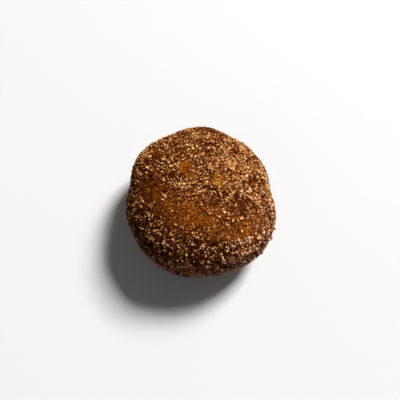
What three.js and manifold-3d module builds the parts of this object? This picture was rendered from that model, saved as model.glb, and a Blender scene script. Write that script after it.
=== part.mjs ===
// A sugared puff: one round, hand-shaped piece of sweet yeast dough, fried until it swells,
// then rolled while warm in cinnamon sugar. It is solid all through, and it has no hole.
// Units are millimetres and +Z is up. The origin is on the resting face, under the middle.
import * as THREE from "three";
import { mergeVertices } from "three/addons/utils/BufferGeometryUtils.js";
import Module from "manifold-3d";

const wasm = await Module();
wasm.setup();

// ---- Driving dimensions ----
const DIAMETER = 70; // mean width across the waist
const HEIGHT = 34; // resting face to crown
const WAIST_HEIGHT = 15.5; // height of the widest part
const SOLE_BULGE = 0.8; // how far the round underside would reach below its flat resting spot
const TOP_ROUNDNESS = 2.3; // exponent of the top's curve: 2 is an ellipse, more is fuller
const SOLE_ROUNDNESS = 2.5; // exponent of the underside's curve

// Lobes of the outline seen from above. Each adds its share of the radius, count times
// round the puff, with one of its crests at that bearing in degrees from +X towards +Y.
const OUTLINE_LOBES = [
  { count: 2, share: 0.037, bearing: -73 },
  { count: 3, share: 0.0125, bearing: -35 },
  { count: 4, share: 0.018, bearing: -36 },
  { count: 6, share: 0.01, bearing: 28 },
  { count: 7, share: 0.01, bearing: -18 },
];

// Broad swells of the skin: waves with a height, a length from crest to crest, the direction
// that they run in and the angle that they start at, in radians.
const SWELLS = [
  { height: 0.17, length: 41, along: [0.76, 0.65, 0], start: 1.7 },
  { height: 0.17, length: 41, along: [0.76, -0.65, 0], start: -0.5 },
  { height: 0.22, length: 20.5, along: [0.54, 0.54, 0.65], start: 2 },
  { height: 0.17, length: 15.4, along: [0.46, -0.65, -0.61], start: 0 },
];

// Shallow dents in the top: where the middle of each is, its radius and its depth.
const TOP_DENTS = [
  { x: -11, y: 0, radius: 6, depth: 0.9 },
  { x: 16, y: -9, radius: 8, depth: 0.8 },
  { x: -4, y: -15, radius: 10, depth: 0.7 },
  { x: 9, y: 12, radius: 7, depth: 0.6 },
  { x: -20, y: 12, radius: 8, depth: 0.7 },
];

// Faint folds above and below the waist, where the two fried sides meet. They wander up and
// down, and they come and go round the puff.
const CREASE_DEPTH = 0.7;
const CREASE_WIDTH = 1.5;
const CREASE_LEVELS = [6.2, -6.5]; // their mean heights above the waist
const CREASE_WANDER = [
  { count: 2, height: 1.3, shift: 1 },
  { count: 5, height: 0.8, shift: 2 },
];
const CREASE_FADE = { count: 3, share: 0.4, shift: 2.4 };

// Low blisters that the hot fat raised.
const BLISTER_COUNT = 90;
const BLISTER_RADIUS = [2.6, 5.8]; // smallest and largest
const BLISTER_RISE = [0.15, 0.6];

// The sugar is thickest round the side, thinner on top and least underneath.
const SUGAR_LEVEL = 0.42; // height of the thickest sugar, as a share of the puff's
const SUGAR_BAND = 0.26; // half-height of the band round it
const TOP_SUGAR = 0.62; // share of the thickest
const SOLE_SUGAR = 0.25;

// Patches of the top where the coating is thin and the fried dough shows through.
const BARE_PATCHES = [
  { x: -4, y: -14, radius: 13 },
  { x: -6.5, y: 7.5, radius: 6 },
  { x: 23, y: -15, radius: 8 },
  { x: -23, y: 0, radius: 9 },
  { x: 7.5, y: 1, radius: 5 },
];

// Lumps of sugar large enough to stand proud of the coating.
const LUMP_CANDIDATES = 600;
const LUMP_LENGTH = [1.1, 2.1];
const LUMP_WIDTH_SHARE = 0.78; // of the length
const LUMP_THICKNESS_SHARE = 0.62;
const LUMP_LOWEST = 2.2; // no lump is centred below this height
const COARSE_SIDE = { bearing: -18, spread: 32, growth: 0.25 }; // where the lumps are largest

const SKIN_DETAIL = 15; // cuts along each edge of the ball that the skin starts from
const SMALLEST_EDGE = 0.02; // shorter edges are merged away

// ---- Shared rules ----
const GOLDEN_ANGLE = Math.PI * (3 - Math.sqrt(5));
const radians = THREE.MathUtils.degToRad;

// A repeatable draw between 0 and 1 from a number and a channel.
function draw(index, channel) {
  const wave = Math.sin(index * 12.9898 + channel * 78.233) * 43758.5453;
  return wave - Math.floor(wave);
}

const between = ([low, high], share) => low + (high - low) * share;

// A bell-shaped falloff, 1 at the middle.
const bell = (distance, width) => Math.exp(-((distance / width) ** 2));

// A smooth bump, 1 in its middle and 0 from its rim outwards.
const bump = (distance, radius) => Math.max(0, 1 - (distance / radius) ** 2) ** 2;

// Direction number index of count, spread evenly over a sphere.
function spreadDirection(index, count) {
  const z = 1 - (2 * index + 1) / count;
  const level = Math.sqrt(1 - z * z);
  const turn = index * GOLDEN_ANGLE;
  return new THREE.Vector3(level * Math.cos(turn), level * Math.sin(turn), z);
}

// ---- The form of the puff ----
// Distance from the waist's middle to the smooth skin along a direction.
function reach(direction) {
  const turn = Math.atan2(direction.y, direction.x);
  let radius = DIAMETER / 2;
  for (const { count, share, bearing } of OUTLINE_LOBES)
    radius += (DIAMETER / 2) * share * Math.cos(count * (turn - radians(bearing)));
  const level = Math.hypot(direction.x, direction.y);
  const isTop = direction.z > 0;
  const rise = isTop ? HEIGHT - WAIST_HEIGHT : WAIST_HEIGHT + SOLE_BULGE;
  const power = isTop ? TOP_ROUNDNESS : SOLE_ROUNDNESS;
  return ((level / radius) ** power + (Math.abs(direction.z) / rise) ** power) ** (-1 / power);
}

const blisters = [];
for (let i = 0; i < BLISTER_COUNT; i++) {
  const direction = spreadDirection(i, BLISTER_COUNT);
  blisters.push({
    middle: direction.multiplyScalar(reach(direction)),
    radius: between(BLISTER_RADIUS, draw(i, 1)),
    rise: between(BLISTER_RISE, draw(i, 2) ** 2),
  });
}

function creaseDepth(turn, level, which) {
  let middle = CREASE_LEVELS[which];
  for (const { count, height, shift } of CREASE_WANDER)
    middle += height * Math.sin(count * turn + shift * (which + 1));
  const { count, share, shift } = CREASE_FADE;
  const strength = 1 - share + share * Math.sin(count * turn + shift * which);
  return CREASE_DEPTH * strength * bell(level - middle, CREASE_WIDTH);
}

// How far the dough stands out from the smooth skin at a point, measured from the waist's middle.
function relief(point) {
  const turn = Math.atan2(point.y, point.x);
  let out = 0;
  for (const { height, length, along, start } of SWELLS) {
    const run = point.dot(new THREE.Vector3(...along));
    out += height * Math.sin((2 * Math.PI * run) / length + start);
  }
  if (point.z > 0)
    for (const { x, y, radius, depth } of TOP_DENTS)
      out -= depth * bump(Math.hypot(point.x - x, point.y - y), radius);
  for (let i = 0; i < CREASE_LEVELS.length; i++) out -= creaseDepth(turn, point.z, i);
  for (const { middle, radius, rise } of blisters)
    out += rise * bump(point.distanceTo(middle), radius);
  return out;
}

// The dough's surface along a direction, in the part's frame.
function skinPoint(direction) {
  const distance = reach(direction);
  const out = relief(direction.clone().multiplyScalar(distance));
  const point = direction.clone().multiplyScalar(distance + out);
  point.z += WAIST_HEIGHT;
  return point;
}

// ---- Solids ----
function solidFrom(geometry) {
  const bare = geometry.clone();
  bare.deleteAttribute("normal");
  bare.deleteAttribute("uv");
  const merged = mergeVertices(bare);
  return new wasm.Manifold(
    new wasm.Mesh({
      numProp: 3,
      vertProperties: new Float32Array(merged.attributes.position.array),
      triVerts: new Uint32Array(merged.index.array),
    }),
  );
}

function geometryFrom(solid) {
  const { vertProperties, triVerts } = solid.getMesh();
  const geometry = new THREE.BufferGeometry();
  geometry.setAttribute("position", new THREE.BufferAttribute(vertProperties, 3));
  geometry.setIndex(new THREE.BufferAttribute(triVerts, 1));
  geometry.computeVertexNormals();
  return geometry;
}

// The dough: a ball drawn out to the skin, with its underside cut to the flat resting spot.
function makeDough() {
  const ball = new THREE.IcosahedronGeometry(1, SKIN_DETAIL);
  const position = ball.attributes.position;
  for (let i = 0; i < position.count; i++) {
    const direction = new THREE.Vector3().fromBufferAttribute(position, i).normalize();
    position.setXYZ(i, ...skinPoint(direction).toArray());
  }
  const floor = new THREE.BoxGeometry(2 * DIAMETER, 2 * DIAMETER, HEIGHT);
  floor.translate(0, 0, -HEIGHT / 2);
  return solidFrom(ball).subtract(solidFrom(floor));
}

// ---- Sugar ----
// How thick the sugar lies at a point, from 0 to 1.
function sugarShare(point) {
  const isTop = point.z > HEIGHT / 2;
  const least = isTop ? TOP_SUGAR : SOLE_SUGAR;
  let share = least + (1 - least) * bell(point.z / HEIGHT - SUGAR_LEVEL, SUGAR_BAND);
  if (isTop)
    for (const { x, y, radius } of BARE_PATCHES)
      share *= 1 - bump(Math.hypot(point.x - x, point.y - y), radius);
  return share;
}

// How much larger than usual the lumps are at a point.
function lumpGrowth(point) {
  const turn = Math.atan2(point.y, point.x) - radians(COARSE_SIDE.bearing);
  const away = Math.acos(Math.cos(turn));
  return 1 + COARSE_SIDE.growth * bell(away, radians(COARSE_SIDE.spread));
}

// One lump: a block-shaped crystal, turned any way and half sunk in the dough.
function makeLump(middle, index) {
  const length = between(LUMP_LENGTH, draw(index, 4) ** 2) * lumpGrowth(middle);
  const lump = new THREE.BoxGeometry(
    length,
    length * LUMP_WIDTH_SHARE,
    length * LUMP_THICKNESS_SHARE,
  );
  const turns = [5, 6, 7].map((channel) => 2 * Math.PI * draw(index, channel));
  lump.applyMatrix4(new THREE.Matrix4().makeRotationFromEuler(new THREE.Euler(...turns)));
  lump.translate(...middle.toArray());
  return solidFrom(lump);
}

function makeLumps() {
  const lumps = [];
  for (let i = 0; i < LUMP_CANDIDATES; i++) {
    const direction = spreadDirection(i, LUMP_CANDIDATES);
    const middle = skinPoint(direction);
    // Directions lie closer together on the skin where it is nearer to the middle.
    const sparseness = ((2 * reach(direction)) / DIAMETER) ** 2;
    if (middle.z > LUMP_LOWEST && draw(i, 3) < sugarShare(middle) * sparseness)
      lumps.push(makeLump(middle, i));
  }
  return lumps;
}

// ---- The object ----
const friedDough = new THREE.MeshStandardMaterial({
  color: 0x8f5426,
  roughness: 0.75,
  metalness: 0,
});
const solid = wasm.Manifold.union([makeDough(), ...makeLumps()]).simplify(SMALLEST_EDGE);
const puff = new THREE.Mesh(geometryFrom(solid), friedDough);
puff.name = "puff";

const part = new THREE.Group();
part.add(puff);

export default part;
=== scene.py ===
"""A sugared puff: a round fried bun of sweet dough, rolled warm in coarse cinnamon sugar."""

import math

import bmesh
import bpy
import numpy as np
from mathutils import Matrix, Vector, noise


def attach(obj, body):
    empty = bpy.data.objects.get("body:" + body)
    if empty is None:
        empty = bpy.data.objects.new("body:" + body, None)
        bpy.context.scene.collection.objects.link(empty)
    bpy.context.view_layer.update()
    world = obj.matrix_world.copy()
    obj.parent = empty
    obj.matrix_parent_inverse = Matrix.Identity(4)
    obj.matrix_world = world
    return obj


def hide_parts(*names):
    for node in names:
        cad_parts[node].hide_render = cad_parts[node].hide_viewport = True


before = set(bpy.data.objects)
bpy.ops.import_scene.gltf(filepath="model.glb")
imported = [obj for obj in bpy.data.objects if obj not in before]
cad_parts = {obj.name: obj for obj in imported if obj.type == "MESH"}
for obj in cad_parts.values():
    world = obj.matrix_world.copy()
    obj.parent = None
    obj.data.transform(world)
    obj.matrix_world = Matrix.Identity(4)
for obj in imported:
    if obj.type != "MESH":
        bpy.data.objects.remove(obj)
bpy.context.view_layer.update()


# The crust.
# One hand-shaped ball of yeast dough, fried on one side and then on the other, so that it is
# brown all over and dullest round the waist, with amber patches, low blisters and faint folds.

MM = 0.001  # in metres
DIAMETER = 70  # mean width across the waist, in mm, as all sizes of the puff are
HEIGHT = 34
WAIST_HEIGHT = 15.5
SOLE_BULGE = 0.8  # how far the round underside would reach below its flat resting spot
TOP_ROUNDNESS = 2.3  # exponent of the top's curve: 2 is an ellipse, more is fuller
SOLE_ROUNDNESS = 2.5
CRUST_CUTS = 111  # cuts along each edge of the cube that the crust starts from

# Lobes of the outline: how many go round, their share of the radius, one crest's bearing.
OUTLINE_LOBES = (
    (2, 0.037, -73),
    (3, 0.0125, -35),
    (4, 0.018, -36),
    (6, 0.01, 28),
    (7, 0.01, -18),
)
# Broad swells: height, length from crest to crest, the direction they run in, starting angle.
SWELLS = (
    (0.17, 41, (0.76, 0.65, 0), 1.7),
    (0.17, 41, (0.76, -0.65, 0), -0.5),
    (0.22, 20.5, (0.54, 0.54, 0.65), 2),
    (0.17, 15.4, (0.46, -0.65, -0.61), 0),
)
# Shallow dents in the top: x and y of the middle, radius, depth.
TOP_DENTS = (
    (-11, 0, 6, 0.9),
    (16, -9, 8, 0.8),
    (-4, -15, 10, 0.7),
    (9, 12, 7, 0.6),
    (-20, 12, 8, 0.7),
)
# Folds above and below the waist: depth, width, their levels above the waist, how they
# wander up and down (times round, height, shift) and how they fade (times, share, shift).
CREASE_DEPTH = 0.7
CREASE_WIDTH = 1.5
CREASE_LEVELS = (6.2, -6.5)
CREASE_WANDER = ((2, 1.3, 1), (5, 0.8, 2))
CREASE_FADE = (3, 0.4, 2.4)
# Low blisters that the hot fat raised, with their smallest and largest radius and rise.
BLISTER_COUNT = 90
BLISTER_RADIUS = (2.6, 5.8)
BLISTER_RISE = (0.15, 0.6)
# Crumbs and pores of the skin: their size, how far they stand out, and a seed.
SKIN_GRAINS = ((3.2, 0.12, 3), (1.3, 0.09, 8))

# How thick the sugar lies: thickest round the side, thinner on top, least underneath.
SUGAR_LEVEL = 0.42  # height of the thickest sugar, as a share of the puff's
SUGAR_BAND = 0.26  # half-height of the band round it, as a share too
TOP_SUGAR = 0.62  # share of the thickest
SOLE_SUGAR = 0.25

# Colours of the fried dough, from where it fried longest to where it fried least.
BROWN_DOUGH = (0.1, 0.0165, 0.0005)
CHESTNUT_DOUGH = (0.115, 0.0185, 0.0006)
RUSSET_DOUGH = (0.18, 0.04, 0.0008)
AMBER_DOUGH = (0.345, 0.091, 0.0045)
HONEY_DOUGH = (0.365, 0.115, 0.014)
GOLDEN_DOUGH = (0.5, 0.19, 0.009)
# Painted light and shade: the dough is more amber towards the lit side and browner on the shaded
# side.
AMBER_AND_LIT_SIDE = (32, 0.2, 0.4)  # bearing of the lit side, share of amber, growth towards it as painted light
WAIST_DOUGH = (0.1, 0.02, 0.002)
WAIST_BAND = 4.5  # half-height of the band that lay above the fat

# Patches of the top where the fried dough shows through: x and y of the middle, radius, colour.
BARE_PATCHES = (
    (-4, -14, 13, AMBER_DOUGH),
    (-6.5, 7.5, 6, AMBER_DOUGH),
    (23, -15, 8, HONEY_DOUGH),
    (-23, 0, 9, CHESTNUT_DOUGH),
    (7.5, 1, 5, GOLDEN_DOUGH),
)
# Fainter ones, where lumps stand in thin sugar.
FAINT_PATCHES = (
    (-19, -4, 6, RUSSET_DOUGH),
    (-15, -10, 6, AMBER_DOUGH),
    (-3, 3, 4, AMBER_DOUGH),
    (5, -18, 7, AMBER_DOUGH),
    (12, -21, 6, AMBER_DOUGH),
    (20, -19, 6, AMBER_DOUGH),
    (17, -9, 5, BROWN_DOUGH),
    # This one makes the back rim darker, with chestnut dough and thinner sugar.
    (4, 34, 9, CHESTNUT_DOUGH),
)
FAINTNESS = 0.75  # share of their sugar that the middles of the fainter ones lack
PATCH_REACH = 1.3  # how far a patch's colour reaches, in its radii
RAGGED_EDGE = (4, 3)  # length and depth of the ins and outs of a patch's edge
RAGGED_SEEDS = (21, 22, 23)  # one for each direction
NOISE_STEP = Vector((17.3, 5.1, 9.7))  # from one seed's noise to the next one's

DOUGH_GLOSS = 0.015
DOUGH_ROUGHNESS = (0.5, 0.8)
BROWNING_SIZE = 9  # blotches where the dough took more or less of the fat's heat
BROWNING_SHADES = (0.35, 1.65)  # brightness of the darkest and the palest
CRUMB_SIZE = 1.4
CRUMB_BUMPS = (0.5, 0.6)  # height and strength
SPECK_SIZE = 0.5
SPECK_SHADES = (0.45, 2.05)  # brightness between the specks and on them


def draw(index, channel):
    """A repeatable draw between 0 and 1 from a number and a channel."""
    wave = np.sin(index * 12.9898 + channel * 78.233) * 43758.5453
    return wave - np.floor(wave)


def between(limits, share):
    """The value at a share of the way from the first limit to the second."""
    return limits[0] + (limits[1] - limits[0]) * share


def bell(distance, width):
    """A bell-shaped falloff, 1 at the middle."""
    return np.exp(-((distance / width) ** 2))


def bump(distance, radius):
    """A smooth bump, 1 in its middle and 0 from its rim outwards."""
    return np.maximum(0, 1 - (distance / radius) ** 2) ** 2


def spread_directions(count):
    """Directions spread evenly over a sphere, from the top down."""
    index = np.arange(count)
    z = 1 - (2 * index + 1) / count
    turn = index * math.pi * (3 - math.sqrt(5))
    level = np.sqrt(1 - z**2)
    return np.stack([level * np.cos(turn), level * np.sin(turn), z], axis=1)


def reach(directions):
    """Distance from the waist's middle to the smooth skin along each direction."""
    x, y, z = directions.T
    turn = np.arctan2(y, x)
    radius = np.full(len(directions), DIAMETER / 2)
    for count, share, bearing in OUTLINE_LOBES:
        radius += DIAMETER / 2 * share * np.cos(count * (turn - math.radians(bearing)))
    rise = np.where(z > 0, HEIGHT - WAIST_HEIGHT, WAIST_HEIGHT + SOLE_BULGE)
    power = np.where(z > 0, TOP_ROUNDNESS, SOLE_ROUNDNESS)
    return ((np.hypot(x, y) / radius) ** power + (np.abs(z) / rise) ** power) ** (-1 / power)


def relief(points):
    """How far the dough stands out from the smooth skin, at points from the waist's middle."""
    x, y, z = points.T
    turn = np.arctan2(y, x)
    out = np.zeros(len(points))
    for height, length, along, start in SWELLS:
        out += height * np.sin(2 * math.pi * (points @ np.array(along)) / length + start)
    for dent_x, dent_y, radius, depth in TOP_DENTS:
        out -= np.where(z > 0, depth * bump(np.hypot(x - dent_x, y - dent_y), radius), 0)
    for which, middle in enumerate(CREASE_LEVELS):
        for count, height, shift in CREASE_WANDER:
            middle = middle + height * np.sin(count * turn + shift * (which + 1))
        count, share, shift = CREASE_FADE
        strength = 1 - share + share * np.sin(count * turn + shift * which)
        out -= CREASE_DEPTH * strength * bell(z - middle, CREASE_WIDTH)
    middles = spread_directions(BLISTER_COUNT)
    middles *= reach(middles)[:, None]
    for i, middle in enumerate(middles):
        rise = between(BLISTER_RISE, draw(i, 2) ** 2)
        away = np.linalg.norm(points - middle, axis=1)
        out += rise * bump(away, between(BLISTER_RADIUS, draw(i, 1)))
    return out


def skin_points(directions):
    """The dough's surface along each direction, in millimetres in the object's frame."""
    distance = reach(directions)
    out = relief(directions * distance[:, None])
    points = directions * (distance + out)[:, None]
    points[:, 2] += WAIST_HEIGHT
    return points


def speckle(points, size, seed):
    """Smooth noise from about -1 to 1 with blotches of a size, at each point."""
    return np.array([noise.noise(Vector(point) / size + seed * NOISE_STEP) for point in points])


def cover(points, patches, depth=1):
    """The share of its sugar that each point keeps, least in the middle of a patch."""
    x, y, z = points.T
    share = np.ones(len(points))
    for patch_x, patch_y, radius, _ in patches:
        share *= 1 - depth * bump(np.hypot(x - patch_x, y - patch_y), radius)
    return np.where(z > HEIGHT / 2, share, 1)


def sugar_share(points):
    """How thick the sugar lies at each point of the skin, from 0 to 1."""
    height = points[:, 2]
    least = np.where(height > HEIGHT / 2, TOP_SUGAR, SOLE_SUGAR)
    share = least + (1 - least) * bell(height / HEIGHT - SUGAR_LEVEL, SUGAR_BAND)
    return share * cover(points, BARE_PATCHES)


def ragged(points):
    """The points moved about a little, so that a patch tested at them has a ragged edge."""
    length, depth = RAGGED_EDGE
    shifts = [speckle(points, length, seed) for seed in RAGGED_SEEDS]
    return points + depth * np.stack(shifts, axis=1)


def toward(points, bearing):
    """How far each point lies towards a bearing, from -1 to 1 over the puff's width."""
    turn = math.radians(bearing)
    return (points[:, 0] * math.cos(turn) + points[:, 1] * math.sin(turn)) / (DIAMETER / 2)


def dough_colours(points):
    """The fried dough's colour at each point of the skin, with painted light on the lit side."""
    x, y, z = ragged(points).T
    bearing, amber_and_light, growth = AMBER_AND_LIT_SIDE
    amber_and_light = np.clip(amber_and_light + growth * toward(points, bearing), 0, 1)[:, None]
    colours = between((np.array(BROWN_DOUGH), np.array(AMBER_DOUGH)), amber_and_light)
    for patch_x, patch_y, radius, tone in BARE_PATCHES + FAINT_PATCHES:
        share = bump(np.hypot(x - patch_x, y - patch_y), PATCH_REACH * radius) * (z > HEIGHT / 2)
        colours += (np.array(tone) - colours) * share[:, None]
    share = bell(z - WAIST_HEIGHT, WAIST_BAND)
    colours += (np.array(WAIST_DOUGH) - colours) * share[:, None]
    return colours


def paint(mesh, colours):
    """Gives each corner of a mesh its colour, which the mesh's material reads."""
    layer = mesh.attributes.new("colour", "FLOAT_COLOR", "POINT")
    layer.data.foreach_set("color", np.hstack([colours, np.ones((len(colours), 1))]).ravel())


def new_piece(name, mesh, material):
    """Shows a finished mesh as a piece of the puff that moves with it."""
    piece = bpy.data.objects.new(name, mesh)
    bpy.context.scene.collection.objects.link(piece)
    mesh.materials.append(material)
    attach(piece, "root")
    return piece


def make_crust_mesh():
    """A finely cut cube, rounded into a ball of even squares and drawn out to the skin."""
    ball = bmesh.new()
    bmesh.ops.create_cube(ball, size=2)
    bmesh.ops.subdivide_edges(ball, edges=ball.edges, cuts=CRUST_CUTS, use_grid_fill=True)
    mesh = bpy.data.meshes.new("puff_crust")
    ball.to_mesh(mesh)
    ball.free()
    corners = np.empty(len(mesh.vertices) * 3)
    mesh.vertices.foreach_get("co", corners)
    directions = np.tan(corners.reshape(-1, 3) * math.pi / 4)
    directions /= np.linalg.norm(directions, axis=1)[:, None]
    points = skin_points(directions)
    for size, height, seed in SKIN_GRAINS:
        points += directions * (height * speckle(points, size, seed))[:, None]
    points[:, 2] = np.maximum(points[:, 2], 0)
    mesh.vertices.foreach_set("co", (points * MM).ravel())
    mesh.shade_smooth()
    paint(mesh, dough_colours(points))
    return mesh


class Finish:
    """A socket whose value or colour goes on to a material's surface. Sums add Math nodes."""

    def __init__(self, tree, socket):
        self.tree = tree
        self.socket = socket

    def node(self, kind, inputs, output=0, **settings):
        """Adds a node: its settings first, then the value or the link of each input."""
        made = self.tree.nodes.new("ShaderNode" + kind)
        for name, setting in settings.items():
            setattr(made, name, setting)
        for name, value in inputs.items():
            if isinstance(value, Finish):
                self.tree.links.new(value.socket, made.inputs[name])
            else:
                made.inputs[name].default_value = value
        return Finish(self.tree, made.outputs[output])

    def maths(self, operation, *values, **settings):
        """Adds a Math node that works on the values in their order."""
        return self.node("Math", dict(enumerate(values)), operation=operation, **settings)

    def __add__(self, other):
        return self.maths("ADD", self, other)

    def __sub__(self, other):
        return self.maths("SUBTRACT", self, other)

    def __rsub__(self, other):
        return self.maths("SUBTRACT", other, self)

    def __mul__(self, other):
        return self.maths("MULTIPLY", self, other)

    __radd__ = __add__
    __rmul__ = __mul__

    def blotches(self, size, detail=2):
        """Noise with blotches of a size in millimetres, where self is a position in metres."""
        return self.node("TexNoise", {"Vector": self, "Scale": 1 / (size * MM), "Detail": detail})

    def spots(self):
        """This noise as spots with sharper edges, from 0 to 1."""
        return self.maths("ADD", 3 * self - 1, 0, use_clamp=True)

    def scaled(self, factor):
        """This colour times a value."""
        return self.node("VectorMath", {0: self, "Scale": factor}, operation="SCALE")

    def bumps(self, distance, strength):
        """A surface normal with this value as height, up to a distance in millimetres."""
        return self.node("Bump", {"Height": self, "Distance": distance * MM, "Strength": strength})


def new_finish(name, **constants):
    """A material with one Principled shader, the shader, and the position on the object."""
    material = bpy.data.materials.new(name)
    material.use_nodes = True
    tree = material.node_tree
    shader = tree.nodes["Principled BSDF"]
    for socket, value in constants.items():
        shader.inputs[socket.replace("_", " ")].default_value = value
    place = Finish(tree, tree.nodes.new("ShaderNodeTexCoord").outputs["Object"])
    return material, shader, place


def painted(place):
    """The colour that is painted on the mesh."""
    return place.node("Attribute", {}, output="Color", attribute_name="colour")


def surface(shader, **links):
    """Feeds what changes over the surface into the shader's sockets."""
    for socket, value in links.items():
        value.tree.links.new(value.socket, shader.inputs[socket.replace("_", " ")])


def fried_dough():
    """Dull fried skin, browned in blotches, with crumbs and specks of its own colour."""
    material, shader, place = new_finish("fried_dough", Specular_IOR_Level=DOUGH_GLOSS)
    browning = place.blotches(BROWNING_SIZE, detail=3)
    crumbs = place.blotches(CRUMB_SIZE, detail=3)
    specks = place.blotches(SPECK_SIZE, detail=1)
    colour = painted(place).scaled(between(BROWNING_SHADES, browning))
    surface(
        shader,
        Base_Color=colour.scaled(between(SPECK_SHADES, crumbs.spots() * specks.spots())),
        Roughness=between(DOUGH_ROUGHNESS, specks),
        Normal=crumbs.bumps(*CRUMB_BUMPS),
    )
    return material


crust = new_piece("puff_crust", make_crust_mesh(), fried_dough())
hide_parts("puff")


# The lumps of sugar.
# Crystals that stuck together in the sugar tray and stand proud of the coating, half sunk in
# the dough. Each is a block of sugar with smaller crystals sticking out of its faces, and one
# row of crystals hangs low on the front.

LUMP_CANDIDATES = 600
LUMP_LENGTH = (1.1, 2.1)
LUMP_SHAPE = (1, 0.78, 0.62)  # width and thickness as shares of the length
LUMP_LOWEST = 2.2  # no lump is centred below this height
LUMP_CORE = 0.8  # size of the block inside its crystals, as a share of the lump's
LUMP_CRYSTALS = 9  # round each block
LUMP_CRYSTAL_SHARE = (0.28, 0.45)  # of the lump's length
LUMP_SEED = 1
COARSE_SIDE = (-18, 32, 0.25)  # the side with the largest: its bearing, its spread, the growth
CORNER_WEAR = 0.15  # how far a crystal's corners are out of true, as a share of its size

# The row of crystals that stuck end to end: its two ends as bearings and slopes from level,
# seen from the waist's middle, how many there are and their usual size.
ROW_ENDS = ((-73.6, 20.5), (-72.4, 14))
ROW_CRYSTALS = 7
ROW_CRYSTAL_SIZE = (0.95, 0.6, 0.55)
ROW_GROWTH = (0.8, 1.2)  # size of the smallest and the largest, as a share of the usual
ROW_STANDS_OUT = 0.35  # how far their middles stand out of the dough

# Colours of the lumps' crystals, from the cinnamon-stained at 0 to the clean at 1.
LUMP_TONES = (
    (0, (0.2, 0.05, 0.005)),
    (0.3, (0.62, 0.31, 0.11)),
    (1, (0.8, 0.53, 0.28)),
)
SHADED_SIDE = 228  # bearing of the shaded side, where the sugar is painted darker as shade
SIDE_SHADE = (0.21, 0.2)  # how much darker this painted shade is than the middle, and how much browner
COOL_SHADE_SIDE = 285  # bearing of the side in shade, whose sugar is painted bluer as cool shade
COOL_SHADE_TINT = (0, 0.08, 0.6)  # how much more red, green and blue it has there than in the middle
FOOT_SHADE = (0.4, 30)  # painted shade: the sugar's brightness at the foot, and the height where it is full again
# Grains on the bare patches, which fat has soaked, first a stained one and then a clean one:
# how far each has taken the dough's colour, and how much of that colour's red, green and blue.
SOAKED_SHARES = (0.95, 0.62)
SOAKED_TONES = ((0.36, 0.25, 0.1), (2.25, 2.6, 6))

SUGAR_GLOSS = 0.06
FACET_SIZE = 0.35  # of the bright and dull facets
FACET_SHADES = (0.7, 1.3)  # brightness of the dullest and the brightest
FACET_ROUGHNESS = (0.2, 0.6)


def turn_matrices(x, y, z):
    """Rotation matrices from angles about the turning x, y and z axes, in that order."""
    cx, cy, cz = np.cos(x), np.cos(y), np.cos(z)
    sx, sy, sz = np.sin(x), np.sin(y), np.sin(z)
    rows = [
        [cy * cz, -cy * sz, sy],
        [cx * sz + sx * cz * sy, cx * cz - sx * sz * sy, -sx * cy],
        [sx * sz - cx * cz * sy, sx * cz + cx * sz * sy, cx * cy],
    ]
    return np.moveaxis(np.array(rows), 2, 0)


def repeat_shape(name, shape, middles, turns, sizes, colours, rng):
    """One mesh of many copies of a bmesh shape, each with a place, turn, size and colour."""
    corners = np.array([v.co for v in shape.verts])
    faces = np.array([[v.index for v in f.verts] for f in shape.faces])
    shape.free()
    copies = len(middles)
    uneven = rng.uniform(1 - CORNER_WEAR, 1 + CORNER_WEAR, (copies, *corners.shape))
    placed = np.einsum("nij,nkj->nki", turns, corners * uneven * sizes[:, None, :])
    placed += middles[:, None, :]
    joined = faces + (np.arange(copies) * len(corners))[:, None, None]
    mesh = bpy.data.meshes.new(name)
    mesh.vertices.add(copies * len(corners))
    mesh.vertices.foreach_set("co", (placed * MM).ravel())
    mesh.loops.add(joined.size)
    mesh.loops.foreach_set("vertex_index", joined.ravel())
    mesh.polygons.add(copies * len(faces))
    mesh.polygons.foreach_set("loop_start", np.arange(0, joined.size, faces.shape[1]))
    mesh.update(calc_edges=True)
    mesh.shade_flat()
    paint(mesh, np.repeat(colours, len(corners), axis=0))
    return mesh


def grain_colours(tones, middles, rng):
    """A colour for each grain from the tones and the dough's on bare patches, with painted light
    and shade.
    """
    # Painted shade: the sugar is darker and browner towards the shaded side.
    darker, browner = SIDE_SHADE
    shaded = np.maximum(toward(middles, SHADED_SIDE), 0)
    step = np.clip(rng.uniform(0, 1, len(middles)) - browner * shaded, 0, 1)
    levels, colours = zip(*tones)
    dry = np.stack([np.interp(step, levels, channel) for channel in zip(*colours)], axis=1)
    # Painted shade: the sugar is darker towards the foot.
    foot_shade_level, foot_height = FOOT_SHADE
    foot_shading = between((foot_shade_level, 1), np.minimum(middles[:, 2] / foot_height, 1))
    dry *= (foot_shading * (1 - darker * shaded))[:, None]
    # Painted shade: the sugar is bluer on the side in cool shade.
    dry *= 1 + np.array(COOL_SHADE_TINT) * np.maximum(toward(middles, COOL_SHADE_SIDE), 0)[:, None]
    soaked = dough_colours(middles) * between(np.array(SOAKED_TONES), step[:, None])
    shifted = ragged(middles)
    bare = 1 - cover(shifted, BARE_PATCHES) * cover(shifted, FAINT_PATCHES, FAINTNESS)
    return dry + (soaked - dry) * (between(SOAKED_SHARES, step) * bare)[:, None]


def crystal_shape():
    """A block with sides of 1, which each copy's size draws out."""
    shape = bmesh.new()
    bmesh.ops.create_cube(shape, size=1)
    shape.verts.index_update()
    return shape


def coarseness(points):
    """How much larger than usual the sugar's lumps and grains are at each point."""
    bearing, spread, growth = COARSE_SIDE
    turn = np.arctan2(points[:, 1], points[:, 0]) - math.radians(bearing)
    away = np.arccos(np.cos(turn))
    return 1 + growth * bell(away, math.radians(spread))


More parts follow.
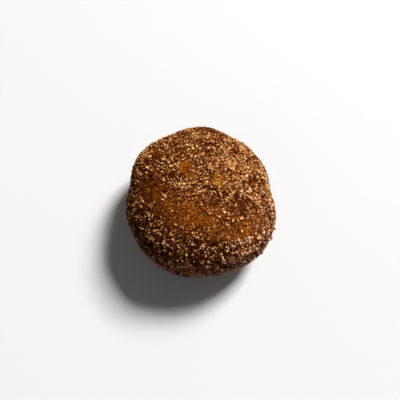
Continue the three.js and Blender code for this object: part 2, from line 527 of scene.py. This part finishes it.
def crystals_round(middles, turns, sizes, rng):
    """Places, turns and sizes of the crystals that stick out of the faces of each block."""
    block = np.repeat(np.arange(len(middles)), LUMP_CRYSTALS)
    count = len(block)
    offsets = rng.uniform(-0.5, 0.5, (count, 3))
    side = rng.integers(0, 3, count)
    offsets[np.arange(count), side] = rng.choice((-LUMP_CORE / 2, LUMP_CORE / 2), count)
    places = middles[block] + np.einsum("nij,nj->ni", turns[block], offsets * sizes[block])
    small = sizes[block, 0] * between(LUMP_CRYSTAL_SHARE, rng.uniform(0, 1, count))
    small_turns = turn_matrices(*rng.uniform(0, 2 * math.pi, (3, count)))
    return places, small_turns, small[:, None] * np.ones(3)


def row_on_the_front(rng):
    """Places, turns and sizes of the crystals in the row."""
    bearings, slopes = np.radians(np.linspace(*ROW_ENDS, ROW_CRYSTALS)).T
    x = np.cos(slopes) * np.cos(bearings)
    y = np.cos(slopes) * np.sin(bearings)
    directions = np.stack([x, y, np.sin(slopes)], axis=1)
    sizes = ROW_CRYSTAL_SIZE * rng.uniform(*ROW_GROWTH, (ROW_CRYSTALS, 1))
    turns = turn_matrices(*rng.uniform(0, 2 * math.pi, (3, ROW_CRYSTALS)))
    return skin_points(directions) + ROW_STANDS_OUT * directions, turns, sizes


def make_lump_mesh():
    """The lumps: blocks where the sugar is thick, with their crystals, and the row."""
    directions = spread_directions(LUMP_CANDIDATES)
    middles = skin_points(directions)
    index = np.arange(LUMP_CANDIDATES)
    # Directions lie closer together on the skin where it is nearer to the middle.
    sparseness = (2 * reach(directions) / DIAMETER) ** 2
    kept = (middles[:, 2] > LUMP_LOWEST) & (draw(index, 3) < sugar_share(middles) * sparseness)
    index, middles = index[kept], middles[kept]
    length = between(LUMP_LENGTH, draw(index, 4) ** 2) * coarseness(middles)
    sizes = length[:, None] * np.array(LUMP_SHAPE)
    turns = turn_matrices(*(2 * math.pi * draw(index, channel) for channel in (5, 6, 7)))

    rng = np.random.default_rng(LUMP_SEED)
    blocks = middles, turns, LUMP_CORE * sizes
    groups = blocks, crystals_round(middles, turns, sizes, rng), row_on_the_front(rng)
    middles, turns, sizes = (np.concatenate(parts) for parts in zip(*groups))
    colours = grain_colours(LUMP_TONES, middles, rng)
    return repeat_shape("sugar_lumps", crystal_shape(), middles, turns, sizes, colours, rng)


def sugar(name, gloss):
    """Sugar whose facets differ in brightness and in how clearly they shine."""
    material, shader, place = new_finish(name, Specular_IOR_Level=gloss)
    facets = place.blotches(FACET_SIZE)
    surface(
        shader,
        Base_Color=painted(place).scaled(between(FACET_SHADES, facets)),
        Roughness=between(FACET_ROUGHNESS, facets),
    )
    return material


lumps = new_piece("sugar_lumps", make_lump_mesh(), sugar("sugar", SUGAR_GLOSS))


# The sugar crystals.
# Coarse granulated sugar that stuck to the warm puff, thickest round the side and on the
# side that was rolled last, and thin where the dough shows through.

CRYSTAL_COUNT = 16500
CRYSTAL_SIZE = (0.4, 0.8)
CRYSTAL_COAT = (0.2, 1.6)  # share of the thickest on bare patches, and how patchy the coat is
CRYSTAL_TONES = (
    (0, (0.1, 0.01, 0.0002)),
    (0.3, (0.34, 0.094, 0.01)),
    (0.65, (0.63, 0.3, 0.095)),
    (1, (0.77, 0.48, 0.22)),
)
CRYSTAL_SEED = 11
PATCH_SIZES = (6, 2)  # of the thick and thin patches of every coat
PATCH_SEED = 40
# Where more or less sugar stuck to the upper side: x and y of the middle, radius, the change.
THICK_PATCHES = (
    (13, 13, 11, 1.4),
    (1, 16, 6, 1),
    (1, 24, 7, 0.6),
    (5, 19, 5, 1),
    (13, 16, 6, 1.2),
    (20, 9, 5, 1),
    (20, 5, 5, 0.8),
    (-8, 16, 7, -0.3),
    (-7, 7.5, 5, -0.6),
    (3, 4.5, 4, 1.2),
    (3, 0, 4, 2.5),
    (2, -3, 6, 2.2),
    (0, -7, 6, 1.3),
    (-6, -3, 5, 0.6),
    (7, 27, 6, -0.6),
    (-12, 1, 6, 0.6),
    (13, -13, 7, -0.6),
    (-5, -23, 5, 0.6),
    (26, -6, 8, 1.5),
    (22, -7, 6, 1),
    (29, -13, 6, 1),
    (20, -24, 8, -0.6),
    (-15, -25, 9, -0.3),
    (-22, -9, 9, -0.5),
    (-31, -8, 6, 0.8),
    (-20, 14, 9, -0.4),
)
GRAIN_BED = 0.4  # no grain lies on dough below this height
GRAIN_LOWEST = 1  # least height of a grain's middle, in its lengths
GRAIN_FINENESS = 1.5  # 1 has as many large grains as small ones, more has fewer
GRAIN_PROPORTIONS = (0.35, 1.35)  # each side of a grain as a share of its length
GRAIN_RISE = (0.05, 0.35)  # how far its middle stands out of the dough, in lengths


def scatter(count, coat, rng):
    """Places for grains on the dough, most where the sugar is thickest, with their normals."""
    mesh = crust.data
    vertices = np.empty(len(mesh.vertices) * 3)
    mesh.vertices.foreach_get("co", vertices)
    corners = np.empty(len(mesh.polygons) * 4, int)
    mesh.polygons.foreach_get("vertices", corners)
    faces = (vertices.reshape(-1, 3) / MM)[corners.reshape(-1, 4)]
    middles = faces.mean(axis=1)
    normals = np.cross(faces[:, 2] - faces[:, 0], faces[:, 3] - faces[:, 1])
    doubled_areas = np.linalg.norm(normals, axis=1)
    normals /= doubled_areas[:, None]

    least, patchiness = coat
    shifted = ragged(middles)
    share = sugar_share(shifted) * cover(shifted, FAINT_PATCHES, FAINTNESS)
    weight = doubled_areas * np.clip(share, least, 1)
    patches = sum(speckle(middles, size, PATCH_SEED + size) for size in PATCH_SIZES)
    weight *= np.exp(patchiness * patches)
    x, y, z = middles.T
    for patch_x, patch_y, radius, change in THICK_PATCHES:
        inside = bump(np.hypot(x - patch_x, y - patch_y), radius) * (z > WAIST_HEIGHT)
        weight *= 1 + change * inside
    weight[z < GRAIN_BED] = 0
    chosen = rng.choice(len(faces), count, p=weight / weight.sum())
    across, along = rng.uniform(0, 1, (2, count, 1))
    near = faces[chosen, 0] * (1 - across) + faces[chosen, 1] * across
    far = faces[chosen, 3] * (1 - across) + faces[chosen, 2] * across
    return near * (1 - along) + far * along, normals[chosen]


def make_grain_mesh(name, shape, count, limits, coat, tones, seed):
    """One mesh of grains half sunk in the dough, each turned any way."""
    rng = np.random.default_rng(seed)
    places, normals = scatter(count, coat, rng)
    length = between(limits, rng.uniform(0, 1, count) ** GRAIN_FINENESS) * coarseness(places)
    sizes = length[:, None] * rng.uniform(*GRAIN_PROPORTIONS, (count, 3))
    turns = turn_matrices(*rng.uniform(0, 2 * math.pi, (3, count)))
    raised = rng.uniform(*GRAIN_RISE, count) * length
    middles = places + normals * raised[:, None]
    middles[:, 2] = np.maximum(middles[:, 2], length * GRAIN_LOWEST)
    colours = grain_colours(tones, middles, rng)
    return repeat_shape(name, shape, middles, turns, sizes, colours, rng)


crystals = new_piece(
    "sugar_crystals",
    make_grain_mesh(
        "sugar_crystals",
        crystal_shape(),
        CRYSTAL_COUNT,
        CRYSTAL_SIZE,
        CRYSTAL_COAT,
        CRYSTAL_TONES,
        CRYSTAL_SEED,
    ),
    sugar("sugar_crystals", SUGAR_GLOSS),
)


# The fine sugar.
# Splinters and crumbs of sugar that broke off in the tray. They lie between the crystals, and
# on the bare patches too, where fat has soaked them.

SPLINTER_COUNT = 36000
SPLINTER_FOOT = 0.6  # radius of its foot, as a share of its size
SPLINTER_HEIGHT = 0.9  # from its foot to its point, likewise
SPLINTER_SIZE = (0.4, 0.8)
SPLINTER_COAT = (0.7, 0.8)
SPLINTER_TONES = (
    (0, (0.042, 0.0035, 0.0001)),
    (0.5, (0.2, 0.043, 0.002)),
    (1, (0.6, 0.28, 0.085)),
)
SPLINTER_SEED = 17
SPLINTER_GLOSS = 0.02


def splinter_shape():
    """A three-sided point, about as long as it is wide at its foot."""
    shape = bmesh.new()
    bmesh.ops.create_cone(
        shape,
        cap_ends=True,
        segments=3,
        radius1=SPLINTER_FOOT,
        radius2=0,
        depth=SPLINTER_HEIGHT,
    )
    shape.verts.index_update()
    return shape


splinters = new_piece(
    "sugar_splinters",
    make_grain_mesh(
        "sugar_splinters",
        splinter_shape(),
        SPLINTER_COUNT,
        SPLINTER_SIZE,
        SPLINTER_COAT,
        SPLINTER_TONES,
        SPLINTER_SEED,
    ),
    sugar("sugar_splinters", SPLINTER_GLOSS),
)


# The cinnamon sugar.
# The finest part of the mix, dark with ground cinnamon. It clings to the fat on the dough and
# fills in between the sugar.

CINNAMON_COUNT = 44000
CINNAMON_SIZE = (0.4, 0.75)
CINNAMON_COAT = (0.8, 0)
CINNAMON_TONES = (
    (0, (0.016, 0.0007, 0.00002)),
    (0.5, (0.055, 0.0042, 0.0001)),
    (1, (0.2, 0.038, 0.002)),
)
CINNAMON_SEED = 23
CINNAMON_GLOSS = 0.01

cinnamon = new_piece(
    "cinnamon_sugar",
    make_grain_mesh(
        "cinnamon_sugar",
        splinter_shape(),
        CINNAMON_COUNT,
        CINNAMON_SIZE,
        CINNAMON_COAT,
        CINNAMON_TONES,
        CINNAMON_SEED,
    ),
    sugar("cinnamon_sugar", CINNAMON_GLOSS),
)


# The floor, the light and the camera.
# A plain pale floor that curves up far behind the puff all round, a soft light from behind on
# the right, a weak low one from the left, and a camera that looks steeply down.

FLOOR_RADIUS = 3  # in metres, as all lengths here but the lens
FLOOR_BEND = 1.2  # radius of the curve at its edge, and the height of the edge
FLOOR_STEPS = (12, 96)  # up the curve and round the floor
FLOOR_COLOUR = (0.62, 0.616, 0.612, 1)
FLOOR_ROUGHNESS = 0.9
WORLD_COLOUR = (1, 1, 1, 1)
WORLD_BRIGHTNESS = 0.08
AIM = Vector((-0.1, -0.8, 17)) * MM  # the point that the lamps and the camera are turned to
CAMERA_DISTANCE = 180 * MM
CAMERA_BEARING = -90
CAMERA_ELEVATION = 67
CAMERA_LENS = 35
CAMERA_NEAREST = 10 * MM


def make_floor():
    """A round floor whose edge curves up."""
    steps_up, steps_round = FLOOR_STEPS
    sweep = bmesh.new()
    bmesh.ops.create_circle(sweep, cap_ends=True, segments=steps_round, radius=FLOOR_RADIUS)
    turn = math.pi / 2 / steps_up
    for step in range(steps_up):
        edges = [e for e in sweep.edges if e.is_boundary]
        ring = bmesh.ops.extrude_edge_only(sweep, edges=edges)["geom"]
        out = FLOOR_BEND * (math.sin((step + 1) * turn) - math.sin(step * turn))
        up = FLOOR_BEND * (math.cos(step * turn) - math.cos((step + 1) * turn))
        for corner in (v for v in ring if isinstance(v, bmesh.types.BMVert)):
            corner.co += corner.co.xy.normalized().to_3d() * out + Vector((0, 0, up))
    mesh = bpy.data.meshes.new("floor")
    sweep.to_mesh(mesh)
    sweep.free()
    mesh.shade_smooth()
    material = bpy.data.materials.new("floor")
    material.use_nodes = True
    shader = material.node_tree.nodes["Principled BSDF"]
    shader.inputs["Base Color"].default_value = FLOOR_COLOUR
    shader.inputs["Roughness"].default_value = FLOOR_ROUGHNESS
    mesh.materials.append(material)
    floor = bpy.data.objects.new("floor", mesh)
    bpy.context.scene.collection.objects.link(floor)


def place_round(thing, bearing, elevation, distance):
    """Puts a lamp or the camera at a distance from the puff's middle and turns it there."""
    bpy.context.scene.collection.objects.link(thing)
    turn, rise = math.radians(bearing), math.radians(elevation)
    level = math.cos(rise)
    away = Vector((level * math.cos(turn), level * math.sin(turn), math.sin(rise)))
    thing.location = AIM + distance * away
    thing.rotation_euler = (-away).to_track_quat("-Z", "Y").to_euler()


def add_light(name, bearing, elevation, distance, size, power):
    """A square soft lamp that is turned to the puff."""
    light = bpy.data.lights.new(name, "AREA")
    light.size = size
    light.energy = power
    place_round(bpy.data.objects.new(name, light), bearing, elevation, distance)


def add_world():
    """A faint even light from all round."""
    world = bpy.data.worlds.new("studio")
    world.use_nodes = True
    background = world.node_tree.nodes["Background"]
    background.inputs["Color"].default_value = WORLD_COLOUR
    background.inputs["Strength"].default_value = WORLD_BRIGHTNESS
    bpy.context.scene.world = world


def add_camera():
    """The camera, at the angle that the puff was photographed from."""
    data = bpy.data.cameras.new("camera")
    data.lens = CAMERA_LENS
    data.clip_start = CAMERA_NEAREST
    camera = bpy.data.objects.new("camera", data)
    place_round(camera, CAMERA_BEARING, CAMERA_ELEVATION, CAMERA_DISTANCE)
    bpy.context.scene.camera = camera


make_floor()
add_light("key", bearing=47, elevation=42, distance=5, size=1.4, power=515)
add_light("fill", bearing=235, elevation=20, distance=5, size=3, power=14)
add_world()
add_camera()
bpy.context.scene.view_settings.view_transform = "Standard"
